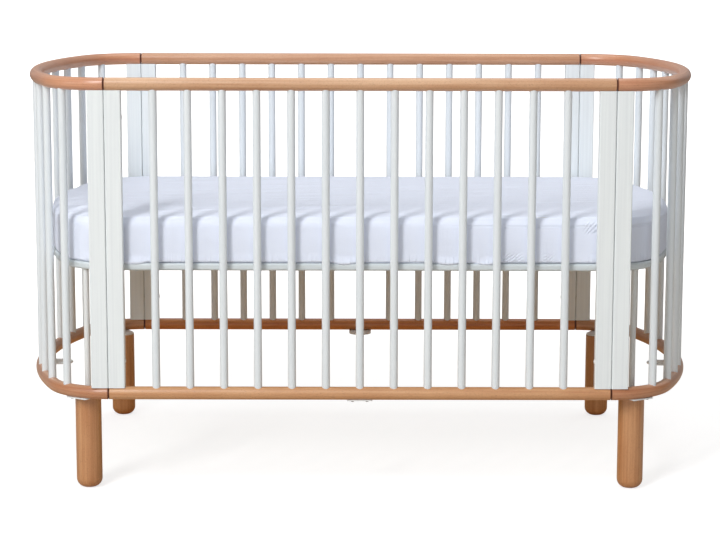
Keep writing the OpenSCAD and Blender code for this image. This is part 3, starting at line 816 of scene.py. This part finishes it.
def drawn(cut, rng):
    """All the ridges of one sheet, as a height over the cut."""
    height = np.zeros(len(cut))
    for _ in range(34):
        x = rng.beta(1.0, 1.5) * 1.2 - 0.6
        y = rng.uniform(-0.30, 0.30)
        slant = rng.normal(0.12, 0.16)
        reach = rng.uniform(0.06, 0.17)
        size = rng.uniform(0.0007, 0.0018) * rng.choice([1, -0.8])
        middle, way = np.array([x, y]), np.array([math.cos(slant), math.sin(slant)]) * reach
        height += ridge(cut, middle - way, middle + way, rng.uniform(0.010, 0.020), size)
    for k in range(5):
        inset = 0.045 + 0.024 * k
        start = (-0.60 + inset + 0.02 * k, -0.26 + 0.015 * k)
        end = (-0.63 + inset, -0.02 - 0.02 * k)
        height += ridge(cut, start, end, 0.009, 0.0026 - 0.0003 * k)
    for k in range(4):
        x = 0.425 + 0.016 * k
        height += ridge(cut, (x, -RIM_Y - 0.030), (x + 0.030, -RIM_Y + 0.010), 0.0055, 0.0014)
    height += ridge(cut, (0.340, -RIM_Y + 0.003), (0.380, -RIM_Y + 0.008), 0.0065, -0.0024)
    low = -RIM_Y - EDGE_DOWN
    height += ridge(cut, (0.226, low), (0.266, low + 0.017), 0.0060, -0.0030)
    height += ridge(cut, (0.236, low - 0.006), (0.268, low + 0.005), 0.0060, 0.0026)
    height += ridge(cut, (0.284, low + 0.004), (0.320, low + 0.028), 0.0050, -0.0018)
    for x in (-0.470, -0.055, 0.150):
        height += ridge(cut, (x, low + 0.013), (x + 0.055, low + 0.008), 0.0065, -0.0018)
        height += ridge(cut, (x, low + 0.001), (x + 0.055, low + 0.001), 0.0070, 0.0022)
    return height


def tongues(cut):
    """How far each point moves where the lower edge bellies out and hangs down, over the cut.

    A flat-topped bump along the edge times a narrow one across it, outwards and down.
    """
    down = -cut[:, 1] - RIM_Y
    depth = sum(np.exp(-(((cut[:, 0] - x) / 0.020) ** 4)) for x in (-0.450, -0.031, 0.175, 0.250))
    return np.outer(depth * np.exp(-(((down - EDGE_DOWN) / 0.0075) ** 2)), (0, -0.0034, -0.0038))


fine_cut = refine(sheet, sheet_cut)
creases = drawn(fine_cut, np.random.default_rng(21))
creases *= np.clip((points_of(sheet)[:, 2] - LOW - 0.0006) / 0.004, 0, 1)
put_points(sheet, points_of(sheet) + normals_of(sheet) * creases[:, None] + tongues(fine_cut))
highest, deepest = creases.max() * 1000, creases.min() * 1000
print(f"creases from {deepest:.2f} to {highest:.2f} mm on {len(fine_cut)} points")

# %% [markdown]
# ## Cotton
#
# The cloth is a fine plain weave, washed and cool white, with the lavender cast of optical
# brightener. Its threads are a third of a millimetre apart: far too fine to model, so they are a
# bump on the cut's own coordinates, which turn the corner of the mattress with the cloth.
#
# The same goes for what is finer than the grid. Long streaks on the top, a few centimetres
# apart, say which way the sheet was pulled. A thin line is pressed along the front where the
# top has turned over. The elastic's pull shows as upright gathers just above the lower edge, and
# where a hand tugged at the hem they lean over into a fan of short slanting puckers. A second
# map, of distance round the mattress and down its side, places them. Every height is in metres,
# as on the real cloth.

# %% The weave, its slubs and the small creases
THREAD_PAIR = 0.00066
PUCKER = 0.0085
cotton = Finish(
    "cotton percale", Sheen_Weight=0.18, Sheen_Roughness=0.45, Specular_IOR_Level=0.2, IOR=1.45
)
u, v = cotton.on_map("cut")
round_it, down = cotton.on_map("edge")


def near(item, place, half):
    """1 where a Value is close to a place, 0 from half away on."""
    return cotton.ramp(0.0 - abs(item - place), -half, -0.3 * half)


warp = cotton.math("SINE", u * (2 * math.pi / THREAD_PAIR))
weft = cotton.math("SINE", v * (2 * math.pi / THREAD_PAIR))
slub = cotton.noise(u * 40, v * 1400, 0.0, detail=1) + cotton.noise(u * 1400, v * 40, 3.0, detail=1)
crinkle = cotton.noise(u * 34, v * 70, 1.0, detail=3)
on_top = 1.0 - cotton.ramp(down, 0.002, 0.014)
streaks = cotton.noise(u * 2.2, v * 36 - u * 6, 5.0, detail=2) * on_top
upright = cotton.noise(round_it * 210, down * 8, 7.0, detail=1)
up = EDGE_DOWN - down
front = v < 0.0
pressed = near(down + (crinkle - 0.5) * 0.001, 0.0235, 0.0022) * cotton.ramp(u, 0.12, 0.26) * front
leaning = cotton.math("SINE", (u - up * 1.2) * (2 * math.pi / PUCKER) + upright * 8)
tugged_at = near(u, 0.304, 0.026) + near(u, 0.372, 0.018) * 0.7
tugged = tugged_at * cotton.ramp(0.0 - up, -0.030, -0.008)
pinched = near(u, 0.458, 0.022) * near(down, 0.026, 0.018)
lifted = cotton.math("SINE", (u + down * 0.9) * (2 * math.pi / PUCKER) + upright * 6)
folds = (leaning * tugged * 0.0007 + lifted * pinched * 0.0006 - pressed * 0.0008) * front
by_edge, on_side = cotton.ramp(down, 0.076, 0.096), cotton.ramp(down, 0.02, 0.03)
gathers = upright * (by_edge * 0.0028 + on_side * 0.0003)
weave = warp * weft * 0.00003 + slub * 0.00005
shade = cotton.clamp((slub - 1.0) * 0.6 + 0.5)
cotton.set(
    Base_Color=cotton.mix(shade, tone(236, 242, 255), tone(229, 236, 254)),
    Roughness=0.82 + (crinkle - 0.5) * 0.1,
    Normal=cotton.bump(streaks * 0.0060 + crinkle * 0.0005 + folds + gathers + weave, 1.0),
)
sheet.data.materials.append(cotton.material)

# %% [markdown]
# ## The elastic hem
#
# The cut edge is folded over a flat elastic and stitched into a casing. Off the mattress the
# elastic is half as long as the edge it holds, so the casing is rippled all the way round. It is
# seen only from below, between the slats, but there it says at once how the sheet stays on. It
# is a closed band, flat in section, its width and height rippled along its length.

# %% A rippled casing round the underside
HEM_INSET = SHEET_INSET + TURN_IN + 0.005
hem_line = outline(0.002)
strides = strides_of(hem_line)
far = np.cumsum(strides) / strides.sum() * 2 * math.pi
ripple = np.sin(far * 331) + 0.6 * np.sin(far * 212 + 1.0) + 0.5 * np.sin(far * 97 + 2.0)
turns = np.linspace(0, 2 * math.pi, 12, endpoint=False)[:, None]
hem_inset = HEM_INSET - (0.0050 + 0.0003 * ripple) * np.cos(turns)
hem_height = LOW - 0.0012 + 0.0011 * np.sin(turns) + 0.0004 * ripple
hem_points = np.stack(
    [
        hem_line[:, 0] - hem_inset * hem_line[:, 2],
        hem_line[:, 1] - hem_inset * hem_line[:, 3],
        hem_height,
    ],
    -1,
)
rows, count = hem_points.shape[:2]
r, c = np.meshgrid(np.arange(rows), np.arange(count), indexing="ij")
ahead, over = (c + 1) % count, (r + 1) % rows
hem_quads = np.stack([r * count + c, over * count + c, over * count + ahead, r * count + ahead], -1)
hem_cut = np.stack([far[c] * 0.52, r * 0.002], -1)
hem_corners = np.stack([hem_cut] * 4, 2).reshape(-1, 4, 2)
hem_maps = {"cut": hem_corners, "edge": hem_corners * (1, 0)}
hem = quad_mesh("sheet_hem", hem_points.reshape(-1, 3), hem_quads.reshape(-1, 4), **hem_maps)
hem.data.materials.append(cotton.material)

for piece in (sheet, hem):
    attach(piece, "mattress")
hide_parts("fitted_sheet")
cut_edge = sheet_cut[-len(outline(SHEET_STEP)):]

# %% [markdown]
# ## Floor, light and camera
#
# The crib stands on a plain pale floor in a white room. One large soft lamp, high and well back
# to the left of the camera, gives the spindles their darker right edges and lays narrow shadows
# to the right of them across the mattress. It is taller than wide, which leaves those upright
# shadows crisp and washes out the level one of the top rail. A second one overhead lights the
# top of the sheet and of the rails, and a weak one behind on the right lights the far bend.
# Another, low in front, fills the legs and the side of the mattress. Two small ones, one at
# either side, do little but draw the soft lights along the four bends. The room is darker towards
# both ends of the crib, most of all on the right, as if flagged, which gives the white spindles
# and the round legs an edge against a white ground.
#
# The floor is a pale, barely warm grey, so that it lights the crib from below no more than a floor
# would. Under the back of the crib it is painted warmer, a pool of painted light standing in for
# the glow that the beech throws there, which lights the back of the crib from below.
# For the camera alone it is lifted to white, without hiding the crib's shadow.

# %% The floor
floor_finish = Finish("pale floor", Roughness=0.9, Specular_IOR_Level=0.1)
seen = floor_finish.node("ShaderNodeLightPath", output="Is Camera Ray")
# Painted light: a warm pool under the back of the crib, for the glow of the beech; only light
# bounced off the floor takes it, while the camera sees white.
behind = floor_finish.y - 0.35
from_middle = floor_finish.math("SQRT", floor_finish.x * floor_finish.x + behind * behind * 2.0)
painted_glow = 1.0 - floor_finish.ramp(from_middle, 0.6, 1.4)
ground = floor_finish.mix(painted_glow, tone(210, 203, 193), tone(212, 158, 84))
floor_finish.set(Base_Color=floor_finish.mix(seen, ground, tone(250, 250, 250)))
away = floor_finish.math("SQRT", floor_finish.x * floor_finish.x + floor_finish.y * floor_finish.y)
share = seen * (floor_finish.ramp(away, 1.0, 2.6) * 0.5 + 0.5)
glow = floor_finish.node("ShaderNodeEmission", inputs={"Color": (1, 1, 1), "Strength": 1.5})
surface = Value(floor_finish, floor_finish.shader.outputs[0])
lift = floor_finish.node("ShaderNodeMixShader", inputs={0: share, 1: surface, 2: glow})
floor_finish.feed(floor_finish.tree.nodes["Material Output"].inputs["Surface"], lift)

FLOOR_HALF = 40.0
corners = np.array([[-1, -1, 0], [1, -1, 0], [1, 1, 0], [-1, 1, 0]]) * FLOOR_HALF
floor_mesh = bpy.data.meshes.new("floor")
floor_mesh.from_pydata(corners.tolist(), [], [(0, 1, 2, 3)])
floor_mesh.materials.append(floor_finish.material)
floor = bpy.data.objects.new("floor", floor_mesh)
bpy.context.scene.collection.objects.link(floor)
print("floor", 2 * FLOOR_HALF, "m square")

# %% The lamps and the white room
def lamp(name, place, aim, size, power, tall=1.0):
    """A soft lamp at a place, facing a point; tall is its height over its width."""
    light = bpy.data.lights.new(name, "AREA")
    light.shape = "RECTANGLE"
    light.size = size
    light.size_y = size * tall
    light.energy = power
    holder = bpy.data.objects.new(name, light)
    holder.location = place
    holder.rotation_mode = "QUATERNION"
    holder.rotation_quaternion = (Vector(aim) - Vector(place)).to_track_quat("-Z", "Y")
    bpy.context.scene.collection.objects.link(holder)


lamp("key", (-2.6, -5.2, 5.0), (0, 0, 0.45), 1.6, 314, tall=2.4)
lamp("top", (0.0, 0.6, 3.8), (0, 0, 0.45), 2.6, 34)
lamp("rim", (2.8, 1.8, 2.8), (0, 0, 0.45), 2.0, 8)
lamp("fill", (0.3, -4.8, 0.9), (0, 0, 0.45), 2.6, 6)
lamp("left", (-3.2, -1.7, 1.5), (0, 0, 0.7), 0.6, 8)
lamp("right", (3.3, -1.3, 1.4), (0, 0, 0.7), 0.4, 3)


class Room(Finish):
    """The world's graph, read by direction instead of by place."""

    def __init__(self, name):
        self.world = bpy.data.worlds.new(name)
        self.world.use_nodes = True
        self.tree = self.world.node_tree
        self.shader = self.tree.nodes["Background"]
        self.x, self.y, self.z = self.parts_of(self.node("ShaderNodeTexCoord", output="Generated"))


walls = Room("white room")
bpy.context.scene.world = walls.world
looked_at = walls.node("ShaderNodeLightPath", output="Is Camera Ray")
at_ends, on_right = walls.ramp(abs(walls.x), 0.45, 0.95), walls.ramp(walls.x, 0.2, 0.9)
flagged = 0.38 - at_ends * 0.25 - on_right * 0.09
walls.set(Color=(1, 1, 1), Strength=looked_at + (1.0 - looked_at) * flagged)
bpy.context.scene.view_settings.view_transform = "Standard"
print("six lamps and a white room")

# %% [markdown]
# The camera stands four and a half metres from the middle of the crib, at about the height of a
# standing adult's elbow, looking slightly down, with a long lens. A nearer one would show more of
# the mattress's top and make the far side look much smaller. From here the near and the far side
# differ by less than a fifth in size, and the mattress's top shows as a narrow band.

# %% The camera
camera = bpy.data.cameras.new("camera")
camera.sensor_width = 36.0
camera.lens = 108.93
viewer = bpy.data.objects.new("camera", camera)
bpy.context.scene.collection.objects.link(viewer)
PITCH, YAW, ROLL = 0.16378, 0.00045, 0.0018
viewer.location = (0.0019, -4.6109, 1.1532)
turn = Matrix.Rotation(YAW, 4, "Z")
turn @= Matrix.Rotation(math.pi / 2 - PITCH, 4, "X")
turn @= Matrix.Rotation(ROLL, 4, "Z")
viewer.rotation_mode = "QUATERNION"
viewer.rotation_quaternion = turn.to_quaternion()
bpy.context.scene.camera = viewer
print("camera at", tuple(round(v, 3) for v in viewer.location))
